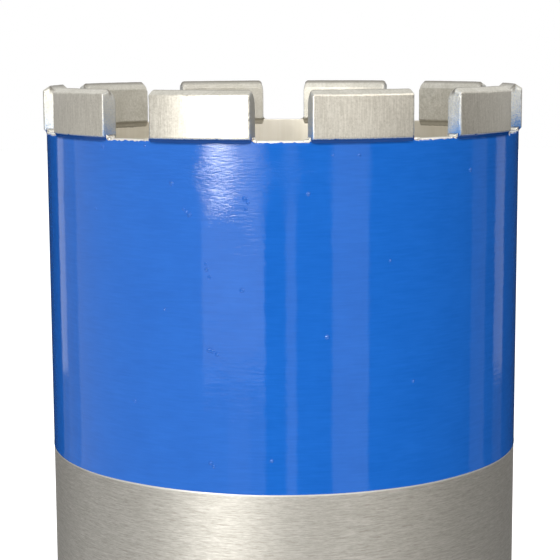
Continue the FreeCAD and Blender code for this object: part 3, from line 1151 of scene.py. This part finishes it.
def shape_hub(radius, height, turn):
    cone = HUB_LAND + height / math.tan(math.radians(30))
    side = np.minimum(hexagon_radius(turn, HUB_FLAT), cone)
    mouth = MOUTH_RADIUS - height
    exit_cone = THREAD_MINOR + 0.9 * MM - (hub_top - height)
    wall = np.maximum(thread_radius(height, turn), np.maximum(mouth, exit_cone))
    shaped = np.where(radius > 25 * MM, side, radius)
    return np.where(radius < 1 * MM, wall, shaped), height


hub = turned_piece(
    "hub_dressed", hub_rows(), HUB_COLUMNS, "hub", [turned_steel], shape_hub
)
hub.data.set_sharp_from_angle(angle=math.radians(24))

# %% [markdown]
# ## Welds
#
# A weld bead is a row of frozen puddles. Each ripple is a shallow crescent, bowed along the run
# because the middle of the puddle freezes last. The ripple is a saw-toothed wave along the
# circumference, and its phase is shifted by the distance from the middle of the bead. Heat has
# left straw and blue oxide on the metal, which the finish mixes from broad noise.


# %% Weld metal
def weld_metal_look(tree):
    tint = stretched(tree, 5.0, 2.0, 3.0, 0.6)
    soot = stretched(tree, 0.8, 0.5, 3.0, 0.65, 6.0)
    straw = mixed(tree, tint, (0.40, 0.30, 0.17, 1), (0.30, 0.30, 0.33, 1))
    sooty = ranged(tree, soot, 0.4, 0.6, 0, 0.7)
    return {
        "Base Color": mixed(tree, sooty, straw, (0.44, 0.43, 0.41, 1)),
        "Roughness": ranged(tree, soot, 0.3, 0.7, 0.5, 0.32),
        "Normal": embossed(tree, soot, 0.03),
        "Metallic": 0.9,
    }


weld_metal = finish_of("weld_metal", weld_metal_look)

# %% The weld round the barrel
WELD_CROWN = 0.4 * MM
WELD_REACH = WELD_GROOVE + 0.25 * MM
RIPPLES_ROUND_BARREL = 250
WELD_COLUMNS = 2500
BEAD_STEPS = 14


def bead_rows():
    """A closed bead section: an arc outside, and its root in the groove."""
    rows = [(barrel_radius - WELD_GROOVE, barrel_foot)]
    for step in range(BEAD_STEPS + 1):
        share = step / BEAD_STEPS * 2 - 1
        bulge = WELD_CROWN * (1 - share**2)
        rows.append((barrel_radius + bulge, barrel_foot + share * WELD_REACH))
    return rows


def ripple_bead(radius, height, turn):
    share = np.clip((height - barrel_foot) / WELD_REACH, -1, 1)
    on_surface = radius > barrel_radius - 0.01 * MM
    phase = (turn / TAU * RIPPLES_ROUND_BARREL + 0.9 * share**2) % 1.0
    ripple = 0.11 * MM * (phase - 0.5) * (1 - share**2)
    wander = ring_noise(turn, 90, 31) * 0.12 * MM
    proud = 0.04 * MM * ring_noise(turn, 60, 32) * (1 - share**2)
    # The bead stays inside the crown it has in the drawing.
    radius = radius + (ripple + proud - 0.1 * MM * (1 - share**2)) * on_surface
    return radius, height + wander * on_surface * np.abs(share)


turned_piece(
    "barrel_weld_dressed", bead_rows(), WELD_COLUMNS, "barrel_weld",
    [weld_metal], ripple_bead,
)

# %% The weld round the hub
HUB_WELD_LEG = 3.0 * MM
RIPPLES_ROUND_HUB = 104
HUB_WELD_COLUMNS = 1456
HUB_WELD_STEPS = 12


def hub_weld_rows():
    """Rows are numbered by their share of the way from the hub's side to the flange."""
    rows = [(10 * MM, 0.0)]
    return rows + [(step / HUB_WELD_STEPS, 1.0) for step in range(HUB_WELD_STEPS + 1)]


def ripple_hub_weld(share, kind, turn):
    side = hexagon_radius(turn, HUB_FLAT)
    leg = HUB_WELD_LEG + ring_noise(turn, 40, 41) * 0.15 * MM - 0.1 * MM
    run = np.clip(share, 0, 1)
    belly = 0.35 * MM * np.sin(run * math.pi)
    phase = (turn / TAU * RIPPLES_ROUND_HUB + 0.8 * (2 * run - 1) ** 2) % 1.0
    ripple = 0.16 * MM * (phase - 0.5) * np.sin(run * math.pi)
    offset = leg * run + (belly + ripple) * 0.7
    drop = leg * (1 - run) + (belly + ripple) * 0.7
    corner = hexagon_radius(turn, HUB_FLAT + HUB_WELD_LEG) - HUB_WELD_LEG
    radius = np.where(run > 0.02, np.maximum(side, corner * run + side * (1 - run)), side)
    root = kind < 0.5
    level = np.minimum(flange_foot - drop, flange_foot)
    return np.where(root, side - 0.2 * MM, radius + offset), np.where(root, flange_foot, level)


turned_piece(
    "hub_weld_dressed", hub_weld_rows(), HUB_WELD_COLUMNS, "hub_weld",
    [weld_metal], ripple_hub_weld,
)

# %% [markdown]
# ## The camera
#
# The photograph was taken from close by, slightly above the rim and looking down, with the gap
# between two segments facing the lens. The distance, height and angles were found by fitting a
# camera to the outlines in the photograph.

# %% Set up the camera
CAMERA_DISTANCE = 415.3 * MM
CAMERA_ABOVE_RIM = 19.42 * MM
CAMERA_SIDE = math.radians(0.274)
CAMERA_YAW = math.radians(-0.392)
CAMERA_PITCH = math.radians(7.99)
CAMERA_ROLL = math.radians(-0.273)
LENS_MM = 104.87
SENSOR_MM = 36.0


def place_camera():
    level = math.cos(CAMERA_PITCH)
    forward = Vector(
        (
            math.sin(CAMERA_YAW) * level,
            math.cos(CAMERA_YAW) * level,
            -math.sin(CAMERA_PITCH),
        )
    )
    level_right = Vector((math.cos(CAMERA_YAW), -math.sin(CAMERA_YAW), 0))
    level_up = level_right.cross(forward)
    right = level_right * math.cos(CAMERA_ROLL) + level_up * math.sin(CAMERA_ROLL)
    up = level_up * math.cos(CAMERA_ROLL) - level_right * math.sin(CAMERA_ROLL)
    data = bpy.data.cameras.new("camera")
    data.lens = LENS_MM
    data.sensor_width = SENSOR_MM
    data.clip_start = 0.01
    camera = bpy.data.objects.new("camera", data)
    bpy.context.scene.collection.objects.link(camera)
    turned = Matrix((right, up, -forward)).transposed().to_4x4()
    x = CAMERA_DISTANCE * math.sin(CAMERA_SIDE)
    y = -CAMERA_DISTANCE * math.cos(CAMERA_SIDE)
    camera.matrix_world = Matrix.Translation((x, y, rim_level + CAMERA_ABOVE_RIM)) @ turned
    bpy.context.scene.camera = camera
    return camera


camera = place_camera()
print("camera at", [round(value, 4) for value in camera.matrix_world.translation])

# %% [markdown]
# ## The studio
#
# Polished and painted cylinders are lit with large shapes, because what the eye sees on them is
# the room. The background is white for the camera and for reflections, and darker for soft
# light, so that it doesn't wash the object out. A tall softbox stands to the left of the
# camera. Its lower edge hangs a little below the rim, which is why its reflection is strong
# under the crown and thins out further down. Light and dark cards, hidden from the camera, stand
# all round the object: they give the tube its dark centre, its shaded right half and its crisp
# edges. At both far sides a darker low card keeps the bare steel below from looking lit.


# %% White surroundings
def seen_directly(tree):
    """1 for rays that show the surroundings: from the camera, in a reflection or through glass."""
    path = part_of(tree, "ShaderNodeLightPath")
    shown = plus(tree, path.outputs["Is Camera Ray"], path.outputs["Is Glossy Ray"])
    shown = plus(tree, shown, path.outputs["Is Transmission Ray"])
    return ranged(tree, shown, 0.0, 1.0, 0.0, 1.0)


WORLD_FILL = 0.42


def make_world():
    world = bpy.data.worlds.new("white_studio")
    bpy.context.scene.world = world
    world.use_nodes = True
    tree = world.node_tree
    background = tree.nodes["Background"]
    background.inputs["Color"].default_value = (1, 1, 1, 1)
    strength = ranged(tree, seen_directly(tree), 0.0, 1.0, WORLD_FILL, 1.0)
    tree.links.new(strength, background.inputs["Strength"])


make_world()

# %% The floor
FLOOR_RADIUS = 8.0
POOL_START, POOL_END = 0.15, 1.3


def shown_as(name, light_of):
    """A finish for the studio whose surface is what light_of makes in its tree."""
    finish, tree, shader = new_finish(name)
    tree.nodes.remove(shader)
    wired(tree, tree.nodes["Material Output"], {"Surface": light_of(tree)})
    return finish


def floor_light(tree):
    """Matt white with a glow that grows outwards, so that the floor ends in the white."""
    away = part_of(tree, "ShaderNodeVectorMath", {0: own_place(tree)}, operation="LENGTH")
    glow = ranged(tree, away.outputs["Value"], POOL_START, POOL_END, 0.32, 1.0)
    glow = times(tree, glow, seen_directly(tree))
    light = part_of(tree, "ShaderNodeEmission", {"Strength": glow}).outputs[0]
    matt = part_of(tree, "ShaderNodeBsdfDiffuse", {"Color": (0.8, 0.8, 0.8, 1)}).outputs[0]
    return part_of(tree, "ShaderNodeAddShader", {0: light, 1: matt}).outputs[0]


bpy.ops.mesh.primitive_circle_add(vertices=96, radius=FLOOR_RADIUS, fill_type="NGON")
floor = bpy.context.object
floor.name = "floor"
floor.data.materials.append(shown_as("white_floor", floor_light))


# %% Lights and flags
def around(degrees, distance, height):
    """A place round the object. The angle is from the camera's side, positive to its right."""
    turn = front_gap_turn + math.radians(degrees)
    return Vector((distance * math.cos(turn), distance * math.sin(turn), height))


def softbox(name, degrees, distance, height, width, tall, radiance, colour):
    """An area light that faces the axis, with its brightness given as its radiance."""
    data = bpy.data.lights.new(name, "AREA")
    data.shape = "RECTANGLE"
    data.size = width
    data.size_y = tall
    data.energy = radiance * width * tall * math.pi
    data.color = colour
    light = bpy.data.objects.new(name, data)
    bpy.context.scene.collection.objects.link(light)
    light.location = around(degrees, distance, height)
    facing = -around(degrees, distance, 0.0)
    light.rotation_euler = facing.to_track_quat("-Z", "Y").to_euler()
    light.visible_camera = False
    return light


def card(name, from_degrees, to_degrees, low, high, shade):
    """A curved card round the object that only reflections see."""
    steps = max(2, round((to_degrees - from_degrees) / CARD_STEP))
    points = []
    for step in range(steps + 1):
        degrees = from_degrees + (to_degrees - from_degrees) * step / steps
        points += [around(degrees, CARD_DISTANCE, low), around(degrees, CARD_DISTANCE, high)]
    faces = [(2 * k, 2 * k + 2, 2 * k + 3, 2 * k + 1) for k in range(steps)]
    mesh = bpy.data.meshes.new(name)
    mesh.from_pydata(points, [], faces)
    links = {"Color": (shade, shade, shade, 1)}
    glow = shown_as(name, lambda tree: part_of(tree, "ShaderNodeEmission", links).outputs[0])
    mesh.materials.append(glow)
    piece = bpy.data.objects.new(name, mesh)
    bpy.context.scene.collection.objects.link(piece)
    piece.visible_camera = False
    piece.visible_diffuse = False
    piece.visible_shadow = False
    piece.visible_transmission = False


# %% Set up the studio
KEY_WHITE = (1.0, 0.99, 0.95)
WARM_WHITE = (1.0, 0.96, 0.89)
# Each softbox: its angle, distance, height, width, tallness, radiance and colour.
SOFTBOXES = (
    ("key", -28.2, 1.3, rim_level + 0.205, 0.26, 0.58, 20.0, KEY_WHITE),
    ("key_side", -16.8, 1.3, rim_level + 0.33, 0.27, 0.86, 3.2, KEY_WHITE),
    ("fill", 46.0, 1.2, rim_level + 0.48, 1.5, 0.5, 2.9, WARM_WHITE),
)
CARD_DISTANCE = 0.75
CARD_STEP = 4
CARD_LOW = 0.02
CARD_TOP = rim_level + 0.05
BELOW_KEY = rim_level - 0.19
SIDE_BREAK = rim_level - 0.2
# Each card: its first and last angle, its lower and upper edge and its shade.
CARDS = (
    ("left_edge", -134.0, -126.0, SIDE_BREAK, CARD_TOP, 0.78),
    ("left_edge_low", -134.0, -126.0, CARD_LOW, SIDE_BREAK, 0.2),
    ("left_dark", -126.0, -113.0, CARD_LOW, CARD_TOP, 0.3),
    ("left", -113.0, -36.5, CARD_LOW, rim_level + 0.6, 0.60),
    ("under_key", -36.5, -25.0, CARD_LOW, BELOW_KEY, 0.62),
    ("beside_key", -25.0, -15.0, CARD_LOW, BELOW_KEY, 0.76),
    ("dim", -15.0, -8.0, CARD_LOW, BELOW_KEY, 0.60),
    ("lens", -8.0, 1.5, CARD_LOW, CARD_TOP, 0.04),
    ("gap", 1.5, 6.0, CARD_LOW, CARD_TOP, 0.75),
    ("stand", 6.0, 22.0, CARD_LOW, rim_level + 0.015, 0.06),
    ("strip", 22.0, 39.0, CARD_LOW, CARD_TOP, 0.72),
    ("right", 39.0, 74.0, CARD_LOW, CARD_TOP, 0.03),
    ("right_high", 74.0, 94.0, CARD_LOW, rim_level + 0.5, 0.03),
    ("right_step", 94.0, 98.0, CARD_LOW, CARD_TOP, 0.03),
    ("right_soft", 98.0, 110.0, CARD_LOW, rim_level + 0.02, 0.2),
    ("right_dark", 110.0, 119.0, CARD_LOW, rim_level + 0.01, 0.03),
    ("right_edge", 119.0, 130.0, SIDE_BREAK, rim_level + 0.01, 0.45),
    ("right_edge_low", 119.0, 130.0, CARD_LOW, SIDE_BREAK, 0.1),
    ("back", 130.0, 226.0, CARD_LOW, rim_level + 0.01, 0.02),
)
for box in SOFTBOXES:
    softbox(*box)
for name, *form in CARDS:
    card(name + "_card", *form)
print(len(SOFTBOXES), "softboxes and", len(CARDS), "cards")

# %% Colour management
bpy.context.scene.view_settings.view_transform = "Standard"
